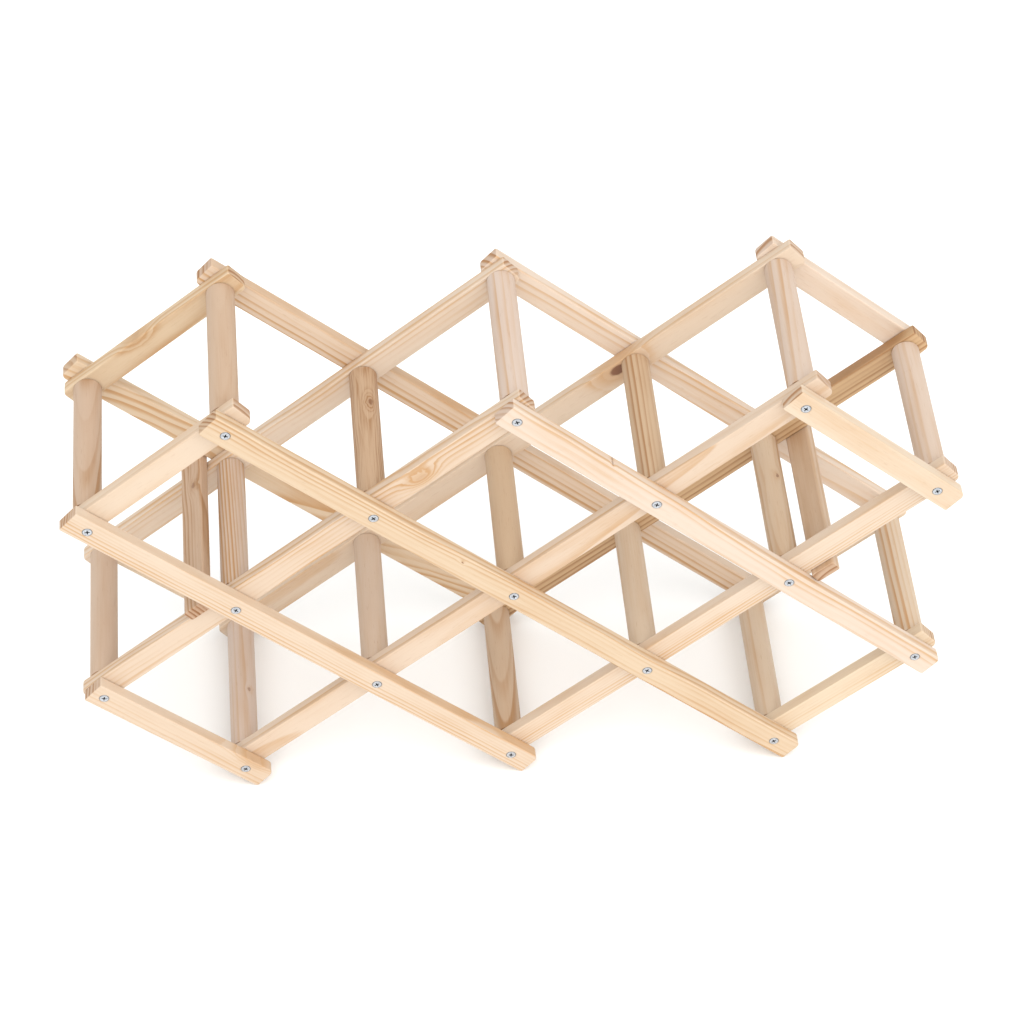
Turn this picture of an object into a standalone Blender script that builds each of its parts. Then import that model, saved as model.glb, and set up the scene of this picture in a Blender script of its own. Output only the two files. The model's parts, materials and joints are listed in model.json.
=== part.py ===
"""Folding lattice wine rack in pine: two scissor panels of slats joined by round dowels.

Units are metres and +Z is up. +X is to the right and -Y is the front. The origin is on
the surface that the rack stands on, under the middle of the rack.

Seen from the front, the outer slats of each panel fall to the right and the inner slats
rise to the right. A pivot is a row letter, from A at the top to E at the foot, and a
number counted from the left. A dowel runs from the front panel to the rear panel at each
pivot, with a countersunk screw through the two slats into its end.
"""
import math

import bmesh
import bpy
from mathutils import Matrix, Vector

# Driving dimensions
PITCH = 0.100  # pivot to pivot along a slat
LEAN = math.radians(41.0)  # slope of the slats with the rack open
SLAT_WIDTH = 0.015
SLAT_THICKNESS = 0.007
WIDE_CORNER = 0.0035  # radius of a slat's well-rounded corners
TIGHT_CORNER = 0.0010  # radius of its other corners
DOWEL_DIAMETER = 0.0155
DOWEL_LENGTH = 0.096
STOP_BAR_LENGTH = 0.117
STOP_BAR_CORNER = 0.0015
GAP = 0.0003  # between pieces that touch

SCREW_LENGTH = 0.030
SCREW_HEAD_RADIUS = 0.0031
SCREW_HEAD_HEIGHT = 0.0017
SCREW_SHANK_RADIUS = 0.0014
SCREW_TIP_LENGTH = 0.003
SCREW_HEAD_DEPTH = 0.0001  # head below the face of the slat
SCREW_HOLE_RADIUS = 0.0019  # clearance hole through a slat
SINK_RADIUS = 0.0036  # mouth of the countersink
SINK_OVERRUN = 0.0003  # how far the cutting cone runs past the face and into the hole
PILOT_RADIUS = 0.0018
PILOT_DEPTH = 0.0165

# Facets
CORNER_STEPS_ABOVE = 0.0020  # a corner with a larger radius takes the wide corner's steps
WIDE_CORNER_STEPS = 4
TIGHT_CORNER_STEPS = 2
HOLE_SIDES = 8
SCREW_SIDES = 10
DOWEL_SIDES = 16
MERGE_DISTANCE = 0.00001
EMPTY_SIZE = 0.02

# Rows of pivots: column of the first pivot, number of pivots, level above the middle.
# Columns are half a cell wide and levels are half a cell high.
ROWS = {"A": (-2, 3, 2), "B": (-3, 4, 1), "C": (-2, 3, 0), "D": (-3, 4, -1), "E": (-2, 3, -2)}

# Slats: pivots from the left end, the pivot that its hinge is on, and the body that
# carries the hinge.
FOOT = "foot"
OUTER_SLATS = {
    "outer_1": ("A1 B2 C2 D3 E3", "D3", "inner_4"),
    "outer_2": ("A2 B3 C3 D4", "C3", "inner_4"),
    "outer_3": ("A3 B4", "B4", "inner_4"),
    "outer_4": ("B1 C1 D2 E2", "E2", FOOT),
    "outer_5": ("D1 E1", "D1", "inner_2"),
}
INNER_SLATS = {
    "inner_1": ("B1 A1", "B1", "outer_4"),
    "inner_2": ("D1 C1 B2 A2", "C1", "outer_4"),
    "inner_3": ("E1 D2 C2 B3 A3", "D2", "outer_4"),
    "inner_4": ("E2 D3 C3 B4", "E2", FOOT),
    "inner_5": ("E3 D4", "E3", "outer_1"),
}

# End pivot to the end of the slat, at the left end and at the right end
OVERHANGS = {
    "outer_1": (0.0118, 0.0145),
    "outer_2": (0.0088, 0.0135),
    "outer_3": (0.0098, 0.0145),
    "outer_4": (0.0130, 0.0145),
    "outer_5": (0.0080, 0.0145),
    "inner_1": (0.0125, 0.0130),
    "inner_2": (0.0108, 0.0088),
    "inner_3": (0.0120, 0.0145),
    "inner_4": (0.0120, 0.0120),
    "inner_5": (0.0120, 0.0120),
}
FOOT_PIVOT = "E2"
STOP_BARS = {"stop_bar_left": ("C1", "inner_2", -1), "stop_bar_right": ("C3", "inner_4", 1)}



def reach(overhang, radius, along, across):
    """How far a slat's corner stands from its pivot, in a direction that its length and
    its width have the shares along and across of."""
    return (overhang - radius) * along + (SLAT_WIDTH / 2 - radius) * across + radius


# Derived sizes
RISE = math.sin(LEAN)
RUN = math.cos(LEAN)
FOOT_LEVEL = reach(OVERHANGS["outer_1"][1], TIGHT_CORNER, RISE, RUN)
RIGHT_REACH = reach(OVERHANGS["outer_3"][1], WIDE_CORNER, RUN, RISE)
LEFT_REACH = reach(OVERHANGS["outer_4"][0], TIGHT_CORNER, RUN, RISE)
OFF_CENTRE = (RIGHT_REACH - LEFT_REACH) / 2
CELL_HALF_WIDTH = PITCH * RUN
CELL_HALF_HEIGHT = PITCH * RISE
INNER_Y = DOWEL_LENGTH / 2 + GAP + SLAT_THICKNESS / 2
OUTER_Y = INNER_Y + SLAT_THICKNESS + GAP
FACE_Y = OUTER_Y + SLAT_THICKNESS / 2

# Colours: base colour, roughness, metallic
SAPWOOD = ((0.86, 0.68, 0.46), 0.62, 0.0)
PALE_PINE = ((0.83, 0.64, 0.45), 0.64, 0.0)
DOWEL_PINE = ((0.74, 0.57, 0.41), 0.66, 0.0)
BROWN_PINE = ((0.58, 0.38, 0.22), 0.66, 0.0)
ZINC = ((0.62, 0.64, 0.67), 0.32, 1.0)


def clear_scene():
    for old in list(bpy.data.objects):
        bpy.data.objects.remove(old, do_unlink=True)


def make_collection(name):
    collection = bpy.data.collections.new(name)
    bpy.context.scene.collection.children.link(collection)
    return collection


def give_material(obj, finish):
    colour, roughness, metallic = finish
    material = bpy.data.materials.new(obj.name + "_finish")
    material.use_nodes = True
    shader = material.node_tree.nodes["Principled BSDF"]
    shader.inputs["Base Color"].default_value = (*colour, 1.0)
    shader.inputs["Roughness"].default_value = roughness
    shader.inputs["Metallic"].default_value = metallic
    obj.data.materials.append(material)


def pivot_places():
    """Place of each pivot's axis, in the middle of the rack's depth."""
    places = {}
    for row, (first_column, count, level) in ROWS.items():
        for number in range(count):
            x = (first_column + 2 * number) * CELL_HALF_WIDTH - OFF_CENTRE
            z = FOOT_LEVEL + (level + 2) * CELL_HALF_HEIGHT
            places[f"{row}{number + 1}"] = Vector((x, 0.0, z))
    return places


def corner_points(centre_x, centre_y, radius, start, steps):
    """A quarter round, counted anticlockwise from the start angle in degrees."""
    points = []
    for step in range(steps + 1):
        angle = math.radians(start + 90.0 * step / steps)
        points.append((centre_x + radius * math.cos(angle), centre_y + radius * math.sin(angle)))
    return points


def rounded_bar_outline(left, right, half_width, radii):
    """Outline of a bar; radii are for the corners lower left, lower right, upper right, upper left."""
    corners = (
        (left, -half_width, 1, 1, 180.0),
        (right, -half_width, -1, 1, 270.0),
        (right, half_width, -1, -1, 0.0),
        (left, half_width, 1, -1, 90.0),
    )
    points = []
    for (x, y, inward_x, inward_y, start), radius in zip(corners, radii):
        steps = WIDE_CORNER_STEPS if radius > CORNER_STEPS_ABOVE else TIGHT_CORNER_STEPS
        centre_x = x + inward_x * radius
        centre_y = y + inward_y * radius
        points.extend(corner_points(centre_x, centre_y, radius, start, steps))
    return points


def circle_points(centre_x, radius, sides):
    turns = [2.0 * math.pi * side / sides for side in range(sides)]
    return [(centre_x + radius * math.cos(turn), radius * math.sin(turn)) for turn in turns]


def extruded_outline(name, outlines, thickness):
    """Mesh of a flat outline, with any further outlines as holes, centred on its thickness."""
    curve = bpy.data.curves.new(name, "CURVE")
    curve.dimensions = "2D"
    curve.fill_mode = "BOTH"
    curve.extrude = thickness / 2
    for outline in outlines:
        spline = curve.splines.new("POLY")
        spline.points.add(len(outline) - 1)
        for point, (x, y) in zip(spline.points, outline):
            point.co = (x, y, 0.0, 1.0)
        spline.use_cyclic_u = True
    drawing = bpy.data.objects.new(name + "_drawing", curve)
    bpy.context.scene.collection.objects.link(drawing)
    depsgraph = bpy.context.evaluated_depsgraph_get()
    mesh = bpy.data.meshes.new_from_object(drawing.evaluated_get(depsgraph))
    mesh.name = name
    bm = bmesh.new()
    bm.from_mesh(mesh)
    bmesh.ops.remove_doubles(bm, verts=bm.verts, dist=MERGE_DISTANCE)
    bmesh.ops.recalc_face_normals(bm, faces=bm.faces)
    bm.to_mesh(mesh)
    bm.free()
    bpy.data.objects.remove(drawing, do_unlink=True)
    bpy.data.curves.remove(curve)
    return mesh


def turned_object(name, profile, sides):
    """A solid of revolution about Z. The profile runs from the top to the bottom."""
    mesh = bpy.data.meshes.new(name)
    vertices = [(x, 0.0, z) for x, z in profile]
    edges = [(index, index + 1) for index in range(len(profile) - 1)]
    mesh.from_pydata(vertices, edges, [])
    obj = bpy.data.objects.new(name, mesh)
    screw = obj.modifiers.new("Turn", "SCREW")
    screw.axis = "Z"
    screw.steps = sides
    screw.render_steps = sides
    screw.use_merge_vertices = True
    screw.merge_threshold = MERGE_DISTANCE
    screw.use_smooth_shade = True
    return obj


def add_empty(name, place, turn, collection, parent):
    """Empty on a hinge's axis, whose X axis runs along the slat."""
    empty = bpy.data.objects.new(name, None)
    empty.empty_display_size = EMPTY_SIZE
    empty.location = place
    empty.rotation_euler = (0.0, turn, 0.0)
    collection.objects.link(empty)
    if parent:
        empty.parent = parent
        empty.matrix_parent_inverse = rest_matrix(parent).inverted()
    return empty


def rest_matrix(empty):
    """World matrix of a hinge empty, whose own location and rotation are world values."""
    return Matrix.Translation(empty.location) @ empty.rotation_euler.to_matrix().to_4x4()


def place_part(obj, hinge, local_place, collection):
    """Puts a part on its hinge empty, with its own Z axis towards the front."""
    obj.parent = hinge
    obj.location = local_place
    obj.rotation_euler = (math.radians(90.0), 0.0, 0.0)
    collection.objects.link(obj)


def sink_cutter(name, centres, face_z, outward):
    """Cones that open the screw holes towards one face of a slat."""
    mesh = bpy.data.meshes.new(name)
    bm = bmesh.new()
    inner_radius = SCREW_HOLE_RADIUS - SINK_OVERRUN
    outer_radius = SINK_RADIUS + SINK_OVERRUN
    depth = outer_radius - inner_radius
    for centre_x in centres:
        middle_z = face_z + outward * (SINK_OVERRUN - depth / 2)
        tilt = Matrix.Identity(4) if outward > 0 else Matrix.Rotation(math.pi, 4, "X")
        bmesh.ops.create_cone(
            bm,
            cap_ends=True,
            segments=HOLE_SIDES,
            radius1=inner_radius,
            radius2=outer_radius,
            depth=depth,
            matrix=Matrix.Translation((centre_x, 0.0, middle_z)) @ tilt,
        )
    bm.to_mesh(mesh)
    bm.free()
    cutter = bpy.data.objects.new(name, mesh)
    cutter.hide_render = True
    cutter.display_type = "WIRE"
    return cutter


def slat_corners(is_outer, is_front):
    """Corner radii of a slat: lower left, lower right, upper right, upper left.

    The front outer slats are well rounded at their right ends only.
    """
    if not is_outer:
        return (TIGHT_CORNER, WIDE_CORNER, TIGHT_CORNER, WIDE_CORNER)
    low_left = TIGHT_CORNER if is_front else WIDE_CORNER
    return (low_left, TIGHT_CORNER, WIDE_CORNER, TIGHT_CORNER)


def slat_mesh(name, pivot_count, overhangs, radii):
    """A slat along X with a screw hole at each pivot and its first pivot at the origin."""
    left_end, right_end = overhangs
    right = (pivot_count - 1) * PITCH + right_end
    outlines = [rounded_bar_outline(-left_end, right, SLAT_WIDTH / 2, radii)]
    for number in range(pivot_count):
        outlines.append(circle_points(number * PITCH, SCREW_HOLE_RADIUS, HOLE_SIDES))
    return extruded_outline(name, outlines, SLAT_THICKNESS)


def add_slat_pair(body, pivots, hinge_pivot, hinge, layer_y, is_outer, parts, cutters):
    """The front slat and the rear slat of one body."""
    count = len(pivots)
    first_x = -pivots.index(hinge_pivot) * PITCH
    finish = SAPWOOD if is_outer else PALE_PINE
    for side, direction in (("front", -1), ("rear", 1)):
        name = f"{side}_{body}_slat"
        radii = slat_corners(is_outer, side == "front")
        slat = bpy.data.objects.new(name, slat_mesh(name, count, OVERHANGS[body], radii))
        give_material(slat, finish)
        place = (first_x, direction * layer_y, 0.0)
        place_part(slat, hinge, place, parts)
        if is_outer:
            centres = [number * PITCH for number in range(count)]
            outward = -direction
            face_z = outward * SLAT_THICKNESS / 2
            cutter = sink_cutter(slat.name + "_sinks", centres, face_z, outward)
            place_part(cutter, hinge, place, cutters)
            sinks = slat.modifiers.new("Countersinks", "BOOLEAN")
            sinks.operation = "DIFFERENCE"
            sinks.solver = "EXACT"
            sinks.object = cutter


def add_dowel(pivot, hinge, local_x, parts):
    radius = DOWEL_DIAMETER / 2
    half = DOWEL_LENGTH / 2
    bottom = half - PILOT_DEPTH
    profile = [
        (0.0, bottom),
        (PILOT_RADIUS, bottom),
        (PILOT_RADIUS, half),
        (radius, half),
        (radius, -half),
        (PILOT_RADIUS, -half),
        (PILOT_RADIUS, -bottom),
        (0.0, -bottom),
    ]
    dowel = turned_object("dowel_" + pivot, profile, DOWEL_SIDES)
    give_material(dowel, DOWEL_PINE)
    place_part(dowel, hinge, (local_x, 0.0, 0.0), parts)


def add_screw(pivot, hinge, local_x, parts):
    """Countersunk wood screw in the front end of a dowel, with its head at its own origin."""
    profile = [
        (0.0, 0.0),
        (SCREW_HEAD_RADIUS, 0.0),
        (SCREW_SHANK_RADIUS, -SCREW_HEAD_HEIGHT),
        (SCREW_SHANK_RADIUS, SCREW_TIP_LENGTH - SCREW_LENGTH),
        (0.0, -SCREW_LENGTH),
    ]
    screw = turned_object("screw_" + pivot, profile, SCREW_SIDES)
    give_material(screw, ZINC)
    place_part(screw, hinge, (local_x, SCREW_HEAD_DEPTH - FACE_Y, 0.0), parts)


def add_stop_bar(name, hinge, pivot_x, side, parts):
    """Flat bar in the vee beside a pivot, on an inner slat's edge and against an outer slat's.

    Side is -1 to the left of the pivot, above the inner slat, and 1 to the right of it,
    below the inner slat.
    """
    vee = 2.0 * LEAN
    far_face = SLAT_WIDTH / 2 + GAP + SLAT_THICKNESS
    near_end = SLAT_WIDTH / 2 / math.sin(vee) + far_face / math.tan(vee) + GAP
    half_width = SLAT_WIDTH / 2
    outline = rounded_bar_outline(-half_width, half_width, SLAT_THICKNESS / 2, [STOP_BAR_CORNER] * 4)
    bar = bpy.data.objects.new(name, extruded_outline(name, [outline], STOP_BAR_LENGTH))
    give_material(bar, BROWN_PINE)
    along = pivot_x + side * (near_end + half_width)
    across = -side * (far_face - SLAT_THICKNESS / 2)
    place_part(bar, hinge, (along, 0.0, across), parts)


def build():
    clear_scene()
    parts = make_collection("folding_wine_rack")
    cutters = make_collection("cutters")
    places = pivot_places()
    hinges = {FOOT: add_empty(FOOT, places[FOOT_PIVOT], 0.0, parts, None)}

    waiting = {**OUTER_SLATS, **INNER_SLATS}
    while waiting:
        ready = [body for body, (_, _, carrier) in waiting.items() if carrier in hinges]
        for body in ready:
            pivot_names, hinge_pivot, carrier = waiting.pop(body)
            is_outer = body in OUTER_SLATS
            turn = LEAN if is_outer else -LEAN
            hinge = add_empty(body + "_hinge", places[hinge_pivot], turn, parts, hinges[carrier])
            hinges[body] = hinge
            layer_y = OUTER_Y if is_outer else INNER_Y
            pivots = pivot_names.split()
            add_slat_pair(body, pivots, hinge_pivot, hinge, layer_y, is_outer, parts, cutters)

    for body, (pivot_names, hinge_pivot, _) in INNER_SLATS.items():
        pivots = pivot_names.split()
        for pivot in pivots:
            if pivot == FOOT_PIVOT:
                continue
            local_x = (pivots.index(pivot) - pivots.index(hinge_pivot)) * PITCH
            add_dowel(pivot, hinges[body], local_x, parts)
            add_screw(pivot, hinges[body], local_x, parts)
    add_dowel(FOOT_PIVOT, hinges[FOOT], 0.0, parts)
    add_screw(FOOT_PIVOT, hinges[FOOT], 0.0, parts)

    for name, (pivot, body, side) in STOP_BARS.items():
        pivot_names, hinge_pivot, _ = INNER_SLATS[body]
        pivots = pivot_names.split()
        pivot_x = (pivots.index(pivot) - pivots.index(hinge_pivot)) * PITCH
        add_stop_bar(name, hinges[body], pivot_x, side, parts)


build()
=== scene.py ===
"""Folding lattice wine rack: pine slats, round dowels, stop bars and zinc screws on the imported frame.

Units are metres, +Z is up and -Y is the front. Pivots are named by row, A at the top to E at the
foot, and counted from the left. Board space is a piece's own space: X along the grain, Y through
the face that shows most, Z across it.
"""

import json
import math

import bmesh
import bpy
from bpy.props import FloatProperty, FloatVectorProperty, IntProperty, PointerProperty
from mathutils import Euler, Matrix, Vector

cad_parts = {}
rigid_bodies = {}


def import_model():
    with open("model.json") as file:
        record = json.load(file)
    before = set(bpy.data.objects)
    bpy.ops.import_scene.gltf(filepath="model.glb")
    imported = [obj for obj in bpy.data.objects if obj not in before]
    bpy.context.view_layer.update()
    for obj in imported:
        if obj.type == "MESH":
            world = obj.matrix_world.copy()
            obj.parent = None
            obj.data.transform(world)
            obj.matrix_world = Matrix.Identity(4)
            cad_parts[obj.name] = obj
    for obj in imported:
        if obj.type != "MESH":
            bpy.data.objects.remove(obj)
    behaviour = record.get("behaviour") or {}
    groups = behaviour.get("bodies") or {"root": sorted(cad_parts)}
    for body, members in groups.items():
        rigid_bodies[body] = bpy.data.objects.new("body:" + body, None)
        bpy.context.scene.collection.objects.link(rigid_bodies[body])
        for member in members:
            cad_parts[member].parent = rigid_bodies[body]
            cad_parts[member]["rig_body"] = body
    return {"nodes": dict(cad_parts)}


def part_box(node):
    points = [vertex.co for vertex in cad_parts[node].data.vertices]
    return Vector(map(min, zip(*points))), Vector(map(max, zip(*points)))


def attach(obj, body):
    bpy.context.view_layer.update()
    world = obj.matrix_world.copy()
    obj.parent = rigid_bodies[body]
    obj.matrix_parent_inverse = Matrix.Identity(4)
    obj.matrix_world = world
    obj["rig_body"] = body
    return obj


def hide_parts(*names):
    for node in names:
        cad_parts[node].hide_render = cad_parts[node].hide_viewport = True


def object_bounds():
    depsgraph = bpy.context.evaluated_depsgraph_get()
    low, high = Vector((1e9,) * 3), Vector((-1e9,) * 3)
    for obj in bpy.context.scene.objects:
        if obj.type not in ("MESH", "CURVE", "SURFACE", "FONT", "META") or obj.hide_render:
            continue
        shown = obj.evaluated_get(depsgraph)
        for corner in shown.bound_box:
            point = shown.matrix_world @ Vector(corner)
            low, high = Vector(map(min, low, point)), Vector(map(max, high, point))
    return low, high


bl_info = {
    "name": "Lattice Wine Rack",
    "version": (1, 0, 0),
    "blender": (4, 5, 0),
    "location": "View3D > Sidebar > Wine Rack",
    "description": "Models the slats, dowels, stop bars and screws of a folding lattice wine rack",
    "category": "Object",
}

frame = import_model()
CAD_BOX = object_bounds()

# Pivots of each slat, from its left end
OUTER_SLATS = {
    "outer_1": "A1 B2 C2 D3 E3",
    "outer_2": "A2 B3 C3 D4",
    "outer_3": "A3 B4",
    "outer_4": "B1 C1 D2 E2",
    "outer_5": "D1 E1",
}
INNER_SLATS = {
    "inner_1": "B1 A1",
    "inner_2": "D1 C1 B2 A2",
    "inner_3": "E1 D2 C2 B3 A3",
    "inner_4": "E2 D3 C3 B4",
    "inner_5": "E3 D4",
}
SIDES = {"front": -1, "rear": 1}
PIVOTS = sorted(name[len("dowel_"):] for name in frame["nodes"] if name.startswith("dowel_"))
STOP_BARS = ("stop_bar_left", "stop_bar_right")

# Each piece's board. Tone runs from pale sapwood at 0 to brown heart at 1.
FLAT, RIFT, QUARTER = "flat", "rift", "quarter"
PITHS = {
    FLAT: (0.0, -0.030, 0.003),
    RIFT: (0.0, -0.030, -0.028),
    QUARTER: (0.0, 0.004, -0.075),
}
CLEAR = (0.0, 0.0, 0.0, 0.0)  # no knot


def board(cut, spacing, show, tone, pink, slope=0.0, wander=1.5, dip=0.0, knot=CLEAR, streak=0.5):
    """Figure of one board. Spacing, wander and a knot's place and size are in millimetres.

    Slope is the grain's across the face that shows, and dip the grain's out through it,
    which makes arches on a flat-sawn face. A knot's last value is how dark its core is.
    """
    return {
        "cut": cut,
        "spacing": spacing,
        "show": show,
        "tone": tone,
        "pink": pink,
        "slope": slope,
        "wander": wander,
        "dip": dip,
        "knot": knot,
        "streak": streak,
    }


BOARDS = {
    "front_outer_1": board(RIFT, 2.3, 0.65, 0.26, 0.15, -0.016, 3.4, knot=(-40.0, 3.5, 0.8, 0.8)),
    "front_outer_2": board(RIFT, 3.2, 0.55, 0.00, 1.00, 0.012, 3.4, knot=(-89.0, 7.5, 0.5, 0.5)),
    "front_outer_3": board(FLAT, 4.0, 0.20, 0.01, 0.40, 0.010, 1.0),
    "front_outer_4": board(QUARTER, 2.2, 0.60, 0.13, 0.60, 0.004, 2.2),
    "front_outer_5": board(QUARTER, 3.0, 0.42, 0.19, 0.60, 0.020, 1.6, knot=(50.0, 10.0, 4.0, 0.15)),
    "front_inner_1": board(FLAT, 4.2, 0.25, 0.12, 0.60, 0.014, 1.0),
    "front_inner_2": board(RIFT, 2.2, 0.60, 0.20, 0.70, 0.012, 4.2, 0.010, (84.0, -1.0, 3.2, 0.06)),
    "front_inner_3": board(FLAT, 5.0, 0.46, 0.18, 0.75, -0.050, 2.6, 0.020),
    "front_inner_4": board(QUARTER, 1.9, 0.55, 0.04, 0.70, 0.002, 1.2),
    "front_inner_5": board(QUARTER, 2.4, 0.35, 0.04, 0.10, 0.010, 1.2),
    "rear_inner_1": board(FLAT, 3.2, 0.50, 0.28, 0.00, 0.020, 2.6, 0.030, (-6.0, 9.0, 3.4, 0.1)),
    "rear_inner_2": board(RIFT, 2.6, 0.50, 0.04, 0.75, 0.006, 2.0),
    "rear_inner_3": board(FLAT, 3.8, 0.35, 0.10, 0.60, 0.015, 2.4, knot=(91.0, 3.0, 5.0, 0.9)),
    "rear_inner_4": board(QUARTER, 3.0, 0.90, 0.72, 0.10, 0.006, 1.8),
    "rear_inner_5": board(RIFT, 2.8, 0.45, 0.20, 0.30, 0.010, 1.5),
    "rear_outer_1": board(QUARTER, 3.6, 0.90, 0.26, 0.70, 0.004, 1.4),
    "rear_outer_2": board(RIFT, 3.8, 0.55, 0.00, 0.95, -0.040, 1.8),
    "rear_outer_3": board(FLAT, 4.6, 0.15, 0.00, 1.00, 0.010, 1.5),
    "rear_outer_4": board(FLAT, 3.2, 0.75, 0.20, 0.20, -0.200, 6.0, 0.060),
    "rear_outer_5": board(RIFT, 2.8, 0.50, 0.20, 0.30, 0.010, 1.5),
    "stop_bar_left": board(QUARTER, 2.8, 0.75, 0.62, 0.80, 0.040, 4.5, 0.0, (34.0, 2.0, 2.0, 0.5), 1.4),
    "stop_bar_right": board(FLAT, 3.4, 0.40, 0.45, 0.60, 0.012, 1.4),
    "dowel_A1": board(FLAT, 3.6, 0.25, 0.48, 0.50, 0.010, 1.2, 0.060),
    "dowel_A2": board(QUARTER, 4.0, 0.45, 0.04, 1.00, 0.006, 1.0),
    "dowel_A3": board(QUARTER, 4.6, 0.50, 0.12, 0.80, -0.035, 1.2),
    "dowel_B1": board(FLAT, 3.6, 0.80, 0.48, 0.60, 0.010, 1.8, 0.090),
    "dowel_B2": board(FLAT, 1.6, 1.30, 0.64, 0.30, 0.060, 9.0, 0.050, (20.0, 3.0, 2.2, 0.5), 2.6),
    "dowel_B3": board(QUARTER, 2.8, 0.90, 0.48, 0.00, 0.004, 0.8),
    "dowel_B4": board(RIFT, 3.6, 0.30, 0.08, 0.75, 0.010, 1.0),
    "dowel_C1": board(QUARTER, 1.9, 0.95, 0.18, 0.80, 0.030, 0.8),
    "dowel_C2": board(FLAT, 4.6, 0.15, 0.46, 0.00, 0.010, 1.5, 0.010),
    "dowel_C3": board(FLAT, 2.8, 0.65, 0.20, 0.00, 0.020, 6.0, 0.030, (14.0, 3.0, 1.3, 0.6)),
    "dowel_D1": board(FLAT, 4.6, 0.20, 0.36, 0.60, 0.010, 1.2),
    "dowel_D2": board(FLAT, 3.4, 0.30, 0.20, 0.50, -0.020, 1.5, 0.020),
    "dowel_D3": board(FLAT, 3.8, 0.30, 0.10, 0.00, 0.020, 1.2),
    "dowel_D4": board(QUARTER, 3.2, 0.75, 0.02, 0.00, 0.015, 1.0),
    "dowel_E1": board(RIFT, 3.2, 0.28, 0.00, 1.00, 0.020, 2.0, knot=(-8.0, 4.0, 1.2, 0.5)),
    "dowel_E2": board(FLAT, 3.4, 1.00, 0.38, 0.20, 0.010, 1.8, 0.090),
    "dowel_E3": board(RIFT, 4.6, 0.30, 0.06, 0.00, 0.004, 1.0),
}
SEED_STEP = Vector((0.731, 0.417, 0.253))  # between one board's place in the tree and the next's
MILLIMETRE = 0.001
NEAR = MILLIMETRE / 100  # places closer than this count as one
ROUND_SIDES = 32  # sides of a screw and of its hole
LENGTHWISE = Matrix(((0, 0, 1, 0), (1, 0, 0, 0), (0, 1, 0, 0), (0, 0, 0, 1)))  # grain along the depth

# Shape of a screw, beside the sizes in its settings
RIM = 0.45 * MILLIMETRE  # thickness of the head's edge
TIP = 3 * MILLIMETRE
SHOULDER = MILLIMETRE / 2
THICK_SHARE = 0.35  # share of the length at the thread's full radius
ARM_SHARE = 0.22  # width of the cross's arms to its span
ARM_TAPER = 0.35  # foot of the cross to its mouth
TURN_STEP = math.radians(37.0)  # from one screw's cross to the next's
SIDE_TURN = math.radians(20.0)  # front crosses turned back, rear ones forward
# Brightness of the zinc on the head's face, and darker copies with painted shade for the cross recess
# and for the rim and thread
ZINC_PAINTED_SHADE = {"zinc_face": 1.0, "zinc_recess_painted_shade": 0.12, "zinc_rim_painted_shade": 0.45}

# How the figure of the pine is coloured
DARK_LATE = (0.62, 0.50, 0.42)  # late wood in resin canals and end grain
SOAKED_END = (0.86, 0.80, 0.77, 1.0)
# Lighter colour along the eased edges: a painted highlight
PAINTED_EDGE_HIGHLIGHT = (1.06, 1.05, 1.03, 1.0)
CLOUD_DEPTH = 1.1
FIBRE_DEPTH = 0.9
CANAL_DEPTH = 0.16
HALO_DEPTH = 0.55
END_RING_DEPTH = 0.75

FLOOR_SIZE = 12.0
FLOOR_CAST = 0.985  # faint patches of the floor, to its own colour


# ------------------------------------------------------------------------------ settings

class SlatSettings(bpy.types.PropertyGroup):
    """Sizes of the slats, which the frame doesn't state."""

    width: FloatProperty(
        name="Width", description="Width of a slat's face", default=0.015, unit="LENGTH"
    )
    wide_corner: FloatProperty(
        name="Wide corner", description="Radius of the rounded corner", default=0.0035, unit="LENGTH"
    )
    tight_corner: FloatProperty(
        name="Tight corner", description="Radius of the other corner", default=0.0010, unit="LENGTH"
    )
    easing: FloatProperty(
        name="Easing", description="Radius sanded along every edge", default=0.00055, unit="LENGTH"
    )
    hole_radius: FloatProperty(
        name="Hole radius", description="Radius of the screw holes", default=0.0019, unit="LENGTH"
    )
    sink_radius: FloatProperty(
        name="Countersink", description="Radius of a countersink's mouth", default=0.0031, unit="LENGTH"
    )
    bar_corner: FloatProperty(
        name="Stop bar corner",
        description="Radius along a stop bar's edges",
        default=0.0015,
        unit="LENGTH",
    )


class DowelSettings(bpy.types.PropertyGroup):
    """Sizes of the dowels."""

    chamfer: FloatProperty(
        name="Chamfer", description="Chamfer round a dowel's ends", default=0.0004, unit="LENGTH"
    )
    pilot_radius: FloatProperty(
        name="Pilot radius", description="Radius of the pilot holes", default=0.0018, unit="LENGTH"
    )
    pilot_depth: FloatProperty(
        name="Pilot depth", description="Depth of the pilot holes", default=0.0165, unit="LENGTH"
    )
    sides: IntProperty(name="Sides", description="Sides of a dowel", default=48, min=12)


class ScrewSettings(bpy.types.PropertyGroup):
    """Sizes of the countersunk cross-head screws."""

    head_radius: FloatProperty(
        name="Head radius", description="Radius of the head", default=0.0028, unit="LENGTH"
    )
    head_height: FloatProperty(
        name="Head height", description="Height of the head's cone", default=0.0017, unit="LENGTH"
    )
    shank_radius: FloatProperty(
        name="Shank radius", description="Radius of the core", default=0.00115, unit="LENGTH"
    )
    thread_radius: FloatProperty(
        name="Thread radius", description="Radius at the thread's crest", default=0.0017, unit="LENGTH"
    )
    recess_span: FloatProperty(
        name="Recess span", description="Length of the cross in the head", default=0.0030, unit="LENGTH"
    )
    recess_depth: FloatProperty(
        name="Recess depth", description="Depth of the cross in the head", default=0.0018, unit="LENGTH"
    )
    head_below: FloatProperty(
        name="Head below face", description="How far the head is sunk", default=0.0001, unit="LENGTH"
    )


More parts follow.
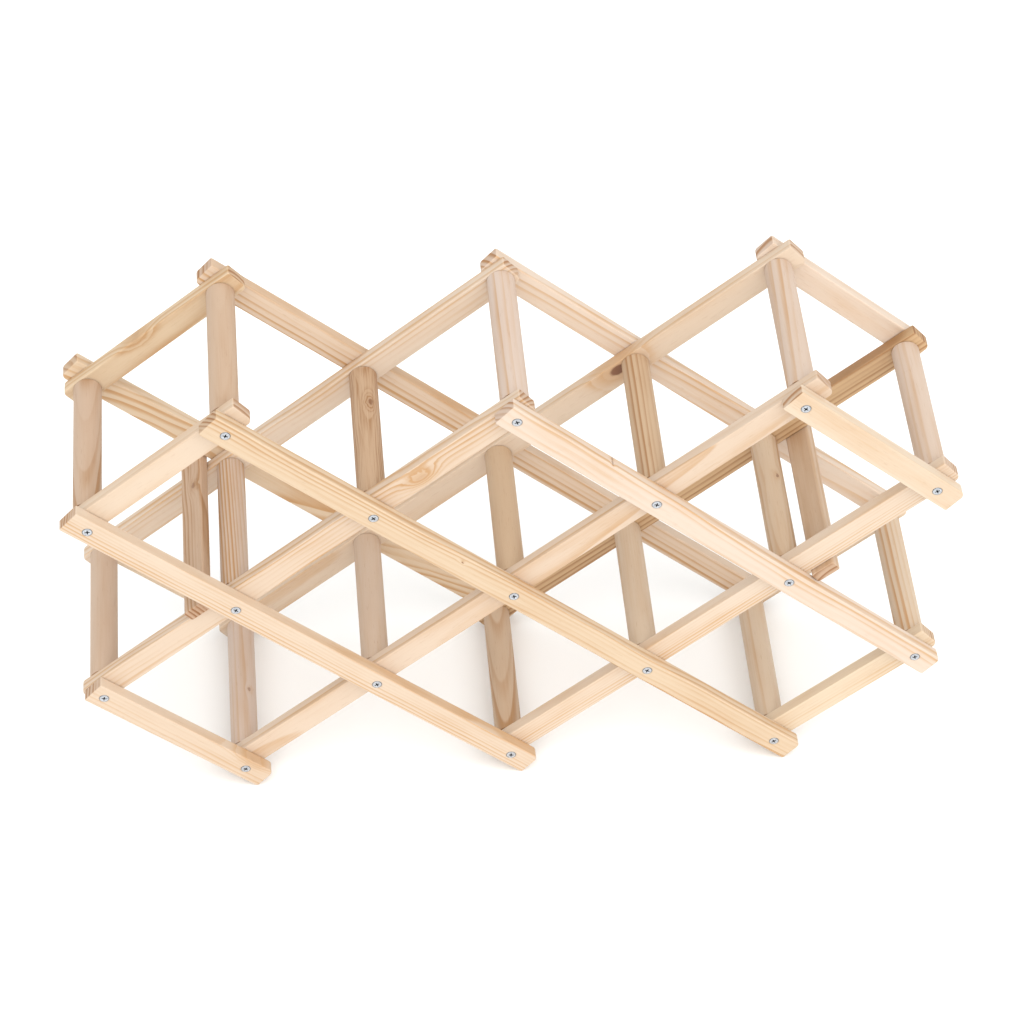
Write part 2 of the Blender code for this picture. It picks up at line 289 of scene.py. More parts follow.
class FinishSettings(bpy.types.PropertyGroup):
    """Colours of the wood and the plating."""

    sapwood: FloatVectorProperty(
        name="Sapwood", description="Pale wood", subtype="COLOR", default=(0.615, 0.497, 0.365)
    )
    pink_wood: FloatVectorProperty(
        name="Pink wood", description="Pale, with pink", subtype="COLOR", default=(0.607, 0.492, 0.402)
    )
    heartwood: FloatVectorProperty(
        name="Heartwood", description="Brown wood", subtype="COLOR", default=(0.46, 0.268, 0.110)
    )
    pink_heart: FloatVectorProperty(
        name="Pink heart", description="Brown and pink", subtype="COLOR", default=(0.42, 0.25, 0.15)
    )
    late_wood: FloatVectorProperty(
        name="Late wood",
        description="Dark part of a ring",
        subtype="COLOR",
        default=(0.50, 0.285, 0.125),
    )
    dark_ring: FloatVectorProperty(
        name="Dark ring", description="Late, in brown wood", subtype="COLOR", default=(0.25, 0.12, 0.05)
    )
    turned_grey: FloatVectorProperty(
        name="Turned grey", description="Dowels' cast", subtype="COLOR", default=(0.90, 0.88, 0.90)
    )
    knot: FloatVectorProperty(
        name="Knot", description="Core of a knot", subtype="COLOR", default=(0.16, 0.06, 0.03)
    )
    zinc: FloatVectorProperty(
        name="Zinc", description="Plating of the screws", subtype="COLOR", default=(0.58, 0.60, 0.64)
    )
    bump: FloatProperty(
        name="Grain depth", description="Depth of the grain's relief", default=0.00010, unit="LENGTH"
    )


class StageSettings(bpy.types.PropertyGroup):
    """The floor, the lights and the camera."""

    floor: FloatVectorProperty(
        name="Floor", description="Colour of the floor", subtype="COLOR", default=(0.93, 0.93, 0.93)
    )
    ambient: FloatProperty(name="Ambient", description="Light from all round", default=1.09, min=0.0)
    key_strength: FloatProperty(
        name="Key strength", description="Strength of the key light", default=2.2, min=0.0
    )
    key_spread: FloatProperty(
        name="Key spread",
        description="Width of the key light",
        default=math.radians(75.0),
        subtype="ANGLE",
    )
    key_azimuth: FloatProperty(
        name="Key azimuth", description="To the right", default=math.radians(12.5), subtype="ANGLE"
    )
    key_elevation: FloatProperty(
        name="Key elevation", description="Above level", default=math.radians(46.0), subtype="ANGLE"
    )
    key_colour: FloatVectorProperty(
        name="Key colour", description="Warm white", subtype="COLOR", default=(1.0, 0.965, 0.91)
    )
    sky_colour: FloatVectorProperty(
        name="Ambient colour", description="Cool white", subtype="COLOR", default=(0.95, 0.985, 1.0)
    )
    azimuth: FloatProperty(
        name="Azimuth", description="To the right", default=math.radians(-5.297), subtype="ANGLE"
    )
    elevation: FloatProperty(
        name="Elevation", description="Above level", default=math.radians(45.274), subtype="ANGLE"
    )
    roll: FloatProperty(
        name="Roll",
        description="Camera turned anticlockwise",
        default=math.radians(1.0),
        subtype="ANGLE",
    )
    aim_offset: FloatVectorProperty(
        name="Aim",
        description="Camera's aim, from the middle pivot",
        subtype="TRANSLATION",
        default=(0.0039, 0.0, 0.0023),
    )
    distance: FloatProperty(
        name="Distance", description="Camera to the rack", default=2.0, unit="LENGTH"
    )
    lens: FloatProperty(name="Lens", description="Focal length", default=126.56, unit="CAMERA")


# ------------------------------------------------------------------------------ modelling

def box_centre(node):
    low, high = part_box(node)
    return (low + high) / 2


def box_size(node):
    low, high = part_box(node)
    return high - low


def pivot_place(pivot):
    return box_centre("dowel_" + pivot)


def slat_matrix(slat, pivots):
    """Board space to the rack for a slat: the middle between its end pivots, turned to its slope."""
    first, *_, last = pivots.split()
    along = pivot_place(last) - pivot_place(first)
    middle = (pivot_place(last) + pivot_place(first)) / 2
    middle.y = box_centre(slat).y
    return Matrix.Translation(middle) @ Matrix.Rotation(math.atan2(-along.z, along.x), 4, "Y")


def pivot_pitch():
    return (pivot_place("B2") - pivot_place("A1")).length


def slat_corners(sizes, sunk, side):
    """Corner radii of a slat: lower left, lower right, upper right, upper left."""
    wide, tight = sizes.wide_corner, sizes.tight_corner
    if not sunk:
        return (tight, wide, tight, wide)
    return (tight if side == "front" else wide, tight, wide, tight)


def slat_ends(sizes, slat, pivots, corners):
    """Where a slat starts and ends in board space, from how far its box reaches past its pivots."""
    first, *_, last = [pivot_place(pivot) for pivot in pivots.split()]
    along = (last - first).normalized()
    low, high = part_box(slat)
    falls = along.z < 0.0
    reaches = (first.x - low.x, high.x - last.x)
    radii = (corners[0], corners[2]) if falls else (corners[3], corners[1])
    overhangs = []
    for reach, radius in zip(reaches, radii):
        across = (sizes.width / 2 - radius) * abs(along.z)
        overhangs.append((reach - radius - across) / along.x + radius)
    half_span = (last - first).length / 2
    return -half_span - overhangs[0], half_span + overhangs[1]


def start_piece(add_primitive, **where):
    """Adds a primitive with nothing else selected and leaves it in edit mode."""
    bpy.ops.object.select_all(action="DESELECT")
    add_primitive(**where)
    piece = bpy.context.object
    bpy.ops.object.transform_apply(location=True, rotation=True, scale=True)
    bpy.ops.object.mode_set(mode="EDIT")
    return piece


def pick(kind, wanted):
    """In edit mode, selects only the vertices, edges or faces for which wanted is true."""
    modes = {"verts": "VERT", "edges": "EDGE", "faces": "FACE"}
    bpy.ops.mesh.select_mode(type=modes[kind])
    bpy.ops.mesh.select_all(action="DESELECT")
    mesh = bpy.context.object.data
    cage = bmesh.from_edit_mesh(mesh)
    found = [item for item in getattr(cage, kind) if wanted(item)]
    if not found:
        raise RuntimeError(f"no {kind} of {mesh.name} are where they were looked for")
    for item in found:
        item.select_set(True)
    bmesh.update_edit_mesh(mesh)


def facing(direction, limit=0.99):
    """Test for faces that look along a direction."""
    return lambda face: face.normal.dot(Vector(direction)) > limit


def middle(edge):
    return (edge.verts[0].co + edge.verts[1].co) / 2


def runs_along(edge, axis):
    span = edge.verts[1].co - edge.verts[0].co
    return abs(span[axis]) > 0.999 * span.length


def apply_modifier(piece, kind, **settings):
    bpy.ops.object.select_all(action="DESELECT")
    piece.select_set(True)
    bpy.context.view_layer.objects.active = piece
    modifier = piece.modifiers.new(kind.title(), kind)
    for name, value in settings.items():
        setattr(modifier, name, value)
    bpy.ops.object.modifier_apply(modifier=modifier.name)


def smooth_piece(piece, angle=40.0):
    bpy.ops.object.select_all(action="DESELECT")
    piece.select_set(True)
    bpy.context.view_layer.objects.active = piece
    bpy.ops.object.shade_smooth_by_angle(angle=math.radians(angle))
    apply_modifier(piece, "WEIGHTED_NORMAL", keep_sharp=True, weight=100)


def join_pieces(pieces):
    bpy.ops.object.select_all(action="DESELECT")
    for piece in pieces:
        piece.select_set(True)
    bpy.context.view_layer.objects.active = pieces[0]
    bpy.ops.object.join()
    bpy.ops.object.transform_apply(location=True, rotation=True, scale=True)
    return bpy.context.object


def combine(piece, other, operation="DIFFERENCE"):
    """Cuts another piece out of this one, or unites them, and removes the other."""
    apply_modifier(piece, "BOOLEAN", operation=operation, solver="EXACT", object=other)
    bpy.data.objects.remove(other, do_unlink=True)


def copy_piece(master, name, matrix):
    """A copy with its own mesh, put in place in its mesh, with its object at the origin."""
    mesh = master.data.copy()
    mesh.name = name
    mesh.transform(matrix)
    if matrix.is_negative:
        mesh.flip_normals()
    piece = bpy.data.objects.new(name, mesh)
    bpy.context.scene.collection.objects.link(piece)
    return piece


def remove_pieces(*pieces):
    for piece in pieces:
        bpy.data.objects.remove(piece, do_unlink=True)


def slat_blank(sizes, ends, thickness, corners):
    """Slat in board space with its four corners rounded and its edges eased."""
    left, right = ends
    half_width = sizes.width / 2
    blank = start_piece(
        bpy.ops.mesh.primitive_cube_add,
        size=1.0,
        location=((left + right) / 2, 0.0, 0.0),
        scale=(right - left, thickness, sizes.width),
    )
    places = ((left, -half_width), (right, -half_width), (right, half_width), (left, half_width))
    for (x, z), radius in zip(places, corners):
        corner = Vector((x, 0.0, z))
        pick("edges", lambda edge: (middle(edge) - corner).length < NEAR)
        bpy.ops.mesh.bevel(offset=radius, segments=8, affect="EDGES")
    face = thickness / 2 - NEAR
    pick("edges", lambda edge: abs(middle(edge).y) > face)
    bpy.ops.mesh.bevel(offset=sizes.easing, segments=3, affect="EDGES")
    bpy.ops.object.mode_set(mode="OBJECT")
    return blank


def hole_cutters(sizes, count, thickness, sunk):
    """One cutter for all the screw holes of a slat, which widens to the front where sunk."""
    overrun = MILLIMETRE
    back = thickness / 2 + overrun
    sink_depth = sizes.sink_radius - sizes.hole_radius
    front = -thickness / 2 + sink_depth if sunk else -back
    cutters = []
    for number in range(count):
        x = (number - (count - 1) / 2) * pivot_pitch()
        cutter = start_piece(
            bpy.ops.mesh.primitive_cylinder_add,
            vertices=ROUND_SIDES,
            radius=sizes.hole_radius,
            depth=back - front,
            location=(x, (back + front) / 2, 0.0),
            rotation=(math.radians(90.0), 0.0, 0.0),
        )
        if sunk:
            pick("faces", facing((0.0, -1.0, 0.0)))
            bpy.ops.mesh.extrude_region_move(TRANSFORM_OT_translate={"value": (0.0, -sink_depth, 0.0)})
            mouth = sizes.sink_radius / sizes.hole_radius
            bpy.ops.transform.resize(value=(mouth, 1.0, mouth), center_override=(x, 0.0, 0.0))
            bpy.ops.mesh.extrude_region_move(TRANSFORM_OT_translate={"value": (0.0, -overrun, 0.0)})
        bpy.ops.object.mode_set(mode="OBJECT")
        cutters.append(cutter)
    return join_pieces(cutters)


def make_slats(slats, sunk):
    """Front and rear slats of one layer, mirrored copies where their corners are alike."""
    sizes = bpy.context.scene.rack_slats
    for body, pivots in slats.items():
        masters = {}
        for side, direction in SIDES.items():
            name = f"{side}_{body}"
            node = name + "_slat"
            thickness = box_size(node).y
            corners = slat_corners(sizes, sunk, side)
            if corners not in masters:
                ends = slat_ends(sizes, node, pivots, corners)
                master = slat_blank(sizes, ends, thickness, corners)
                combine(master, hole_cutters(sizes, len(pivots.split()), thickness, sunk))
                smooth_piece(master)
                masters[corners] = master
            place = slat_matrix(node, pivots)
            facing_out = Matrix.Scale(-direction, 4, (0.0, 1.0, 0.0))
            piece = copy_piece(masters[corners], name, place @ facing_out)
            half_sizes = (0.0, thickness / 2, sizes.width / 2)
            piece.data.materials.append(pine_material(name, place, half_sizes))
            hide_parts(node)
            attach(piece, body)
        remove_pieces(*masters.values())


def make_dowels():
    sizes = bpy.context.scene.rack_dowels
    extent = box_size("dowel_" + PIVOTS[0])
    radius = extent.z / 2
    half = extent.y / 2
    master = start_piece(
        bpy.ops.mesh.primitive_cylinder_add,
        vertices=sizes.sides,
        radius=radius,
        depth=2 * half,
        rotation=(math.radians(90.0), 0.0, 0.0),
    )
    pick("edges", lambda edge: abs(middle(edge).y) > half - NEAR)
    bpy.ops.mesh.bevel(offset=sizes.chamfer, segments=2, affect="EDGES")
    for end in SIDES.values():
        pick("faces", lambda face: abs(face.normal.y) > 0.99 and face.calc_center_median().y * end > 0)
        bpy.ops.mesh.inset(thickness=radius - sizes.chamfer - sizes.pilot_radius)
        inward = (0.0, -end * sizes.pilot_depth, 0.0)
        bpy.ops.mesh.extrude_region_move(TRANSFORM_OT_translate={"value": inward})
    bpy.ops.object.mode_set(mode="OBJECT")
    smooth_piece(master)
    for pivot in PIVOTS:
        name = "dowel_" + pivot
        place = Matrix.Translation(pivot_place(pivot))
        piece = copy_piece(master, "round_" + name, place)
        piece.data.materials.append(pine_material(name, place @ LENGTHWISE, (0.0, 0.0, 0.0)))
        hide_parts(name)
        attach(piece, frame["nodes"][name]["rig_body"])
    remove_pieces(master)


def make_stop_bars():
    """Two flat bars with rounded edges, which stand in the vees of the lattice."""
    sizes = bpy.context.scene.rack_slats
    pivots = INNER_SLATS["inner_2"]
    slope = slat_matrix("front_inner_2_slat", pivots).to_3x3().to_4x4()
    thickness = box_size("front_inner_2_slat").y
    length = box_size(STOP_BARS[0]).y
    master = start_piece(
        bpy.ops.mesh.primitive_cube_add, size=1.0, scale=(sizes.width, length, thickness)
    )
    pick("edges", lambda edge: runs_along(edge, 1))
    bpy.ops.mesh.bevel(offset=sizes.bar_corner, segments=5, affect="EDGES")
    pick("edges", lambda edge: abs(middle(edge).y) > length / 2 - NEAR)
    bpy.ops.mesh.bevel(offset=sizes.easing, segments=3, affect="EDGES")
    bpy.ops.object.mode_set(mode="OBJECT")
    smooth_piece(master)
    for name in STOP_BARS:
        place = Matrix.Translation(box_centre(name)) @ slope
        piece = copy_piece(master, "flat_" + name, place)
        half_sizes = (0.0, thickness / 2, sizes.width / 2)
        piece.data.materials.append(pine_material(name, place @ LENGTHWISE, half_sizes))
        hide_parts(name)
        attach(piece, frame["nodes"][name]["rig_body"])
    remove_pieces(master)


def cross_cutter(sizes):
    """Tapered cross that cuts the recess in a screw's head, which looks along +Z."""
    overrun = MILLIMETRE / 5
    arms = []
    arm_width = sizes.recess_span * ARM_SHARE
    for turn in (0.0, 90.0):
        arm = start_piece(
            bpy.ops.mesh.primitive_cube_add,
            size=1.0,
            location=(0.0, 0.0, (overrun - sizes.recess_depth) / 2),
            rotation=(0.0, 0.0, math.radians(turn)),
            scale=(sizes.recess_span, arm_width, sizes.recess_depth + overrun),
        )
        pick("faces", facing((0.0, 0.0, -1.0)))
        bpy.ops.transform.resize(value=(ARM_TAPER, ARM_TAPER, 1.0), center_override=(0.0, 0.0, 0.0))
        bpy.ops.object.mode_set(mode="OBJECT")
        arms.append(arm)
    well = start_piece(
        bpy.ops.mesh.primitive_cone_add,
        vertices=16,
        radius1=arm_width * 0.2,
        radius2=arm_width,
        depth=sizes.recess_depth + overrun,
        location=(0.0, 0.0, (overrun - sizes.recess_depth) / 2),
    )
    bpy.ops.object.mode_set(mode="OBJECT")
    cutter, *rest = [*arms, well]
    for other in rest:
        combine(cutter, other, "UNION")
    return cutter


def screw_master(sizes, length, lit_and_shaded_zinc):
    """Countersunk cross-head screw that looks along +Z, with its head's face at the origin.

    Its three zincs are for the face of the head, the recess, and the rim and thread; the recess and the
    rim and thread get darker copies, painted shade.
    """
    screw = start_piece(
        bpy.ops.mesh.primitive_cylinder_add,
        vertices=ROUND_SIDES,
        radius=sizes.head_radius,
        depth=RIM,
        location=(0.0, 0.0, -RIM / 2),
    )
    pick("faces", facing((0.0, 0.0, -1.0)))
    thick = length * THICK_SHARE
    steps = (
        (sizes.head_height - RIM, sizes.thread_radius / sizes.head_radius),
        (thick, 1.0),
        (SHOULDER, sizes.shank_radius / sizes.thread_radius),
        (length - thick - sizes.head_height - TIP - SHOULDER, 1.0),
        (TIP, 0.05),
    )
    for drop, shrink in steps:
        bpy.ops.mesh.extrude_region_move(TRANSFORM_OT_translate={"value": (0.0, 0.0, -drop)})
        bpy.ops.transform.resize(value=(shrink, shrink, 1.0), center_override=(0.0, 0.0, 0.0))
    pick("edges", lambda edge: middle(edge).z > -NEAR)
    bpy.ops.mesh.bevel(offset=RIM * 0.9, segments=3, affect="EDGES")
    bpy.ops.object.mode_set(mode="OBJECT")
    combine(screw, cross_cutter(sizes))
    for finish in lit_and_shaded_zinc:
        screw.data.materials.append(finish)
    # The recess gets the zinc with the deepest painted shade, and the rim and thread get the half-dark
    # copy
    for face in screw.data.polygons:
        reach = face.center.xy.length
        if face.center.z > -NEAR and reach < sizes.head_radius - RIM:
            face.material_index = 0
        elif reach < sizes.recess_span / 2 + MILLIMETRE / 20:
            face.material_index = 1
        else:
            face.material_index = 2
    smooth_piece(screw)
    return screw


def make_screws():
    """Front screws stand for the CAD's, and the rear ones are mirrored across the rack."""
    sizes = bpy.context.scene.rack_screws
    lit_and_shaded_zinc = [zinc_material(name, brightness) for name, brightness in ZINC_PAINTED_SHADE.items()]
    node = "screw_" + PIVOTS[0]
    master = screw_master(sizes, box_size(node).y, lit_and_shaded_zinc)
    face = -CAD_BOX[0].y - sizes.head_below
    for index, pivot in enumerate(PIVOTS):
        node = "screw_" + pivot
        for side, direction in SIDES.items():
            place = pivot_place(pivot)
            place.y = direction * face
            upright = Matrix.Rotation(math.radians(90.0 * -direction), 4, "X")
            turned = Matrix.Rotation(TURN_STEP * index + SIDE_TURN * direction, 4, "Z")
            piece = copy_piece(master, f"{side}_{node}", Matrix.Translation(place) @ upright @ turned)
            if side == "front":
                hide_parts(node)
            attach(piece, frame["nodes"][node]["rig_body"])
    remove_pieces(master)


# ------------------------------------------------------------------------------ materials

class Sheet:
    """Adds nodes to a node tree and joins them, with a socket or a plain value for each input."""

    def __init__(self, tree):
        self.tree = tree

    def feed(self, socket, value):
        if isinstance(value, bpy.types.NodeSocket):
            self.tree.links.new(value, socket)
        elif value is not None:
            socket.default_value = value

    def add(self, kind, inputs=(), **settings):
        node = self.tree.nodes.new(kind)
        for name, value in settings.items():
            setattr(node, name, value)
        for name, value in dict(inputs).items():
            self.feed(node.inputs[name], value)
        return node

    def maths(self, operation, first, second=None, third=None):
        node = self.add("ShaderNodeMath", operation=operation)
        for socket, value in zip(node.inputs, (first, second, third)):
            self.feed(socket, value)
        return node.outputs[0]

    def vector(self, operation, first, second=None, output="Vector"):
        node = self.add("ShaderNodeVectorMath", operation=operation)
        for socket, value in zip(node.inputs, (first, second)):
            self.feed(socket, value)
        return node.outputs[output]

    def scaled(self, vector, amount):
        names = {0: vector, "Scale": amount}
        return self.add("ShaderNodeVectorMath", names, operation="SCALE").outputs[0]

    def step(self, value, start, end, low=0.0, high=1.0):
        """Smooth step of a value from start to end."""
        names = {"Value": value, "From Min": start, "From Max": end, "To Min": low, "To Max": high}
        return self.add("ShaderNodeMapRange", names, interpolation_type="SMOOTHSTEP").outputs["Result"]

    def noise(self, vector, scale=1.0, detail=2.0, roughness=0.5):
        names = {"Vector": vector, "Scale": scale, "Detail": detail, "Roughness": roughness}
        return self.add("ShaderNodeTexNoise", names)

    def mix(self, amount, first, second, blend="MIX"):
        node = self.add("ShaderNodeMix", data_type="RGBA", blend_type=blend)
        self.feed(node.inputs[0], amount)
        self.feed(node.inputs[6], first)
        self.feed(node.inputs[7], second)
        return node.outputs[2]

    def place(self, x=0.0, y=0.0, z=0.0):
        return self.add("ShaderNodeCombineXYZ", {"X": x, "Y": y, "Z": z}).outputs[0]

    def parts(self, vector):
        return self.add("ShaderNodeSeparateXYZ", {0: vector}).outputs


def new_group(name, inputs, outputs):
    """Empty shader node group. Sockets are given as name: kind or name: (kind, default)."""
    group = bpy.data.node_groups.new(name, "ShaderNodeTree")
    for socket_name, (kind, default) in inputs.items():
        socket = group.interface.new_socket(
            socket_name, in_out="INPUT", socket_type="NodeSocket" + kind
        )
        socket.default_value = default
    for socket_name, kind in outputs.items():
        group.interface.new_socket(socket_name, in_out="OUTPUT", socket_type="NodeSocket" + kind)
    sheet = Sheet(group)
    start = group.nodes.new("NodeGroupInput").outputs
    end = group.nodes.new("NodeGroupOutput").inputs
    return group, sheet, start, end


def group_node(sheet, group, **inputs):
    node = sheet.add("ShaderNodeGroup", node_tree=group)
    for name, value in inputs.items():
        sheet.feed(node.inputs[name.replace("_", " ")], value)
    return node.outputs


def knot_group():
    """Pushes the rings aside round a knot that runs through the board, and marks its core."""
    inputs = {
        "Vector": ("Vector", (0, 0, 0)),
        "Place": ("Vector", (0, 0, 0)),
        "Size": ("Float", 0.003),
    }
    group, sheet, start, end = new_group("Knot", inputs, {"Push": "Float", "Core": "Float"})
    wobble = sheet.noise(start["Vector"], 260.0, 2.0).outputs["Color"]
    wobble = sheet.vector("SUBTRACT", wobble, (0.5, 0.5, 0.5))
    wobble = sheet.scaled(wobble, 0.0022)
    away = sheet.vector("SUBTRACT", sheet.vector("ADD", start["Vector"], wobble), start["Place"])
    away = sheet.vector("MULTIPLY", away, (0.5, 0.0, 1.0))
    reach = sheet.vector("LENGTH", away, output="Value")
    share = sheet.maths("DIVIDE", reach, sheet.maths("MAXIMUM", start["Size"], 1e-5))
    squared = sheet.maths("MULTIPLY", share, share)
    fall = sheet.maths("EXPONENT", sheet.maths("MULTIPLY", squared, -0.35))
    sheet.feed(end["Push"], sheet.maths("MULTIPLY", fall, sheet.maths("MULTIPLY", start["Size"], 2.2)))
    sheet.feed(end["Core"], sheet.step(share, 0.75, 0.45))
    return group


def ring_group():
    """Growth rings round the pith: late wood rises slowly through a ring and stops short."""
    inputs = {
        "Vector": ("Vector", (0, 0, 0)),
        "Pith": ("Vector", (0, 0, 0)),
        "Spacing": ("Float", 0.0025),
        "Wander": ("Float", 0.0015),
        "Slope": ("Float", 0.0),
        "Dip": ("Float", 0.0),
        "Push": ("Float", 0.0),
    }
    group, sheet, start, end = new_group("Growth rings", inputs, {"Late": "Float", "Radius": "Float"})
    drift = sheet.noise(sheet.vector("MULTIPLY", start["Vector"], (9.0, 26.0, 26.0)), 1.0, 2.0)
    drift = sheet.vector("SUBTRACT", drift.outputs["Color"], (0.5, 0.5, 0.5))
    wander = sheet.maths("MULTIPLY", start["Wander"], 2.0)
    drift = sheet.scaled(drift, wander)
    drifted = sheet.vector("ADD", start["Vector"], drift)
    spot = sheet.parts(sheet.vector("SUBTRACT", drifted, start["Pith"]))
    deep = sheet.maths("MULTIPLY_ADD", spot["X"], start["Dip"], spot["Y"])
    high = sheet.maths("MULTIPLY_ADD", spot["X"], start["Slope"], spot["Z"])
    across = sheet.place(0.0, deep, high)
    radius = sheet.maths("ADD", sheet.vector("LENGTH", across, output="Value"), start["Push"])
    years = sheet.noise(sheet.place(radius, 0.3, 0.7), 170.0, 1.0).outputs[0]
    uneven = sheet.maths("MULTIPLY", sheet.maths("SUBTRACT", years, 0.5), start["Spacing"])
    phase = sheet.maths("DIVIDE", sheet.maths("ADD", radius, uneven), start["Spacing"])
    part = sheet.maths("FRACT", phase)
    late = sheet.maths("MULTIPLY", sheet.step(part, 0.25, 0.86), sheet.step(part, 1.0, 0.88))
    strength = sheet.noise(sheet.place(radius, 5.1, 0.2), 120.0, 0.0).outputs[0]
    sheet.feed(end["Late"], sheet.maths("MULTIPLY", late, sheet.step(strength, 0.30, 0.62, 0.35, 1.15)))
    sheet.feed(end["Radius"], radius)
    return group


def fibre_group():
    """Fine lengthwise fibres, resin canals and slow changes of tone along a board."""
    outputs = {"Fibre": "Float", "Canals": "Float", "Cloud": "Float"}
    group, sheet, start, end = new_group("Fibre", {"Vector": ("Vector", (0, 0, 0))}, outputs)
    fine = sheet.noise(sheet.vector("MULTIPLY", start["Vector"], (28.0, 1100.0, 1100.0)), 1.0, 3.0, 0.6)
    sheet.feed(end["Fibre"], fine.outputs[0])
    canal = sheet.noise(sheet.vector("MULTIPLY", start["Vector"], (150.0, 2200.0, 2200.0)), 1.0, 0.0)
    sheet.feed(end["Canals"], sheet.step(canal.outputs[0], 0.73, 0.80))
    cloud = sheet.noise(sheet.vector("MULTIPLY", start["Vector"], (14.0, 75.0, 75.0)), 1.0, 2.0, 0.55)
    sheet.feed(end["Cloud"], cloud.outputs[0])
    return group


def edge_highlight_group():
    """Marks a band along the edges of a board of the given half sizes for a painted highlight, 0 in the
    middle of a face.
    """
    inputs = {"Vector": ("Vector", (0, 0, 0)), "Half Sizes": ("Vector", (0, 0, 0))}
    group, sheet, start, end = new_group("Painted edge highlight", inputs, {"Mask": "Float"})
    inset = sheet.vector("SUBTRACT", start["Half Sizes"], sheet.vector("ABSOLUTE", start["Vector"]))
    depth = sheet.parts(inset)
    edge_highlight = sheet.noise(start["Vector"], 420.0, 2.0).outputs[0]
    reach = sheet.maths("MULTIPLY", edge_highlight, 0.0018)
    total = sheet.maths("ADD", depth["Y"], depth["Z"])
    mask = sheet.step(total, reach, 0.0)
    used = sheet.maths("GREATER_THAN", sheet.parts(start["Half Sizes"])["Y"], 0.0)
    sheet.feed(end["Mask"], sheet.maths("MULTIPLY", mask, used))
    return group


def pine_group():
    """Colour with a painted highlight along the edges, roughness and relief of a pine board in board
    space.
    """
    names = ("Knot", "Growth rings", "Fibre", "Painted edge highlight")
    makers = (knot_group, ring_group, fibre_group, edge_highlight_group)
    knot, rings, fibre, arris = [
        bpy.data.node_groups.get(name) or make() for name, make in zip(names, makers)
    ]
    inputs = {
        "Vector": ("Vector", (0, 0, 0)),
        "Normal": ("Vector", (0, 0, 1)),
        "Grain": ("Vector", (1, 0, 0)),
        "Half Sizes": ("Vector", (0, 0, 0)),
        "Seed": ("Vector", (0, 0, 0)),
        "Pith": ("Vector", (0, 0, 0)),
        "Spacing": ("Float", 0.0025),
        "Wander": ("Float", 0.0015),
        "Slope": ("Float", 0.0),
        "Dip": ("Float", 0.0),
        "Show": ("Float", 0.5),
        "Streak": ("Float", 0.5),
        "Knot Place": ("Vector", (0, 0, 0)),
        "Knot Size": ("Float", 0.0),
        "Knot Core": ("Float", 0.0),
        "Early": ("Color", (0.8, 0.6, 0.4, 1)),
        "Late": ("Color", (0.6, 0.4, 0.2, 1)),
        "Knot Colour": ("Color", (0.2, 0.1, 0.05, 1)),
    }
    outputs = {"Colour": "Color", "Roughness": "Float", "Height": "Float"}
    group, sheet, start, end = new_group("Pine", inputs, outputs)
    seeded = sheet.vector("ADD", start["Vector"], start["Seed"])
    twist = sheet.vector("ADD", start["Pith"], start["Seed"])
    swell = group_node(
        sheet, knot, Vector=start["Vector"], Place=start["Knot Place"], Size=start["Knot Size"]
    )
    ring = group_node(
        sheet, rings, Vector=seeded, Pith=twist, Spacing=start["Spacing"], Wander=start["Wander"],
        Slope=start["Slope"], Dip=start["Dip"], Push=swell["Push"],
    )
    thread = group_node(sheet, fibre, Vector=seeded)
    edge_highlight = group_node(sheet, arris, Vector=start["Vector"], Half_Sizes=start["Half Sizes"])

    cloud = sheet.maths("MULTIPLY", sheet.maths("SUBTRACT", thread["Cloud"], 0.45), CLOUD_DEPTH)
    tint = sheet.maths("MULTIPLY_ADD", ring["Late"], start["Show"], cloud)
    fibres = sheet.maths("MULTIPLY", sheet.maths("SUBTRACT", thread["Fibre"], 0.5), start["Streak"])
    tint = sheet.maths("ADD", tint, sheet.maths("MULTIPLY", fibres, FIBRE_DEPTH))
    tint = sheet.step(tint, -0.1, 1.1)
    colour = sheet.mix(tint, start["Early"], start["Late"])
    dark = sheet.vector("MULTIPLY", start["Late"], DARK_LATE)
    colour = sheet.mix(sheet.maths("MULTIPLY", thread["Canals"], CANAL_DEPTH), colour, dark)
    halo = sheet.maths("MULTIPLY", sheet.step(swell["Push"], 0.0, 0.007), HALO_DEPTH)
    colour = sheet.mix(halo, colour, start["Late"])
    core = sheet.maths("MULTIPLY", swell["Core"], start["Knot Core"])
    colour = sheet.mix(core, colour, start["Knot Colour"])
    facing_end = sheet.vector("DOT_PRODUCT", start["Normal"], start["Grain"], "Value")
    facing_end = sheet.maths("ABSOLUTE", facing_end)
    end_grain = sheet.step(facing_end, 0.70, 0.98)
    soaked = sheet.mix(1.0, colour, SOAKED_END, "MULTIPLY")
    soaked = sheet.mix(sheet.maths("MULTIPLY", ring["Late"], END_RING_DEPTH), soaked, dark)
    colour = sheet.mix(end_grain, colour, soaked)
    # Painted highlight: the colour is lightened in a band along the eased edges
    highlighted = sheet.mix(1.0, colour, PAINTED_EDGE_HIGHLIGHT, "MULTIPLY")
    colour = sheet.mix(edge_highlight["Mask"], colour, highlighted)
    sheet.feed(end["Colour"], colour)

    rough = sheet.maths("MULTIPLY_ADD", ring["Late"], -0.08, 0.62)
    rough = sheet.maths("MULTIPLY_ADD", sheet.maths("SUBTRACT", thread["Fibre"], 0.5), 0.18, rough)
    sheet.feed(end["Roughness"], sheet.maths("MULTIPLY_ADD", end_grain, 0.15, rough))
    canals = sheet.maths("MULTIPLY", thread["Canals"], 0.5)
    sheet.feed(end["Height"], sheet.maths("SUBTRACT", thread["Fibre"], canals))
    return group


def blend_colours(first, second, amount):
    return [a + (b - a) * amount for a, b in zip(first, second)]


def new_material(name):
    material = bpy.data.materials.new(name)
    material.use_nodes = True
    sheet = Sheet(material.node_tree)
    return material, sheet, material.node_tree.nodes["Principled BSDF"]


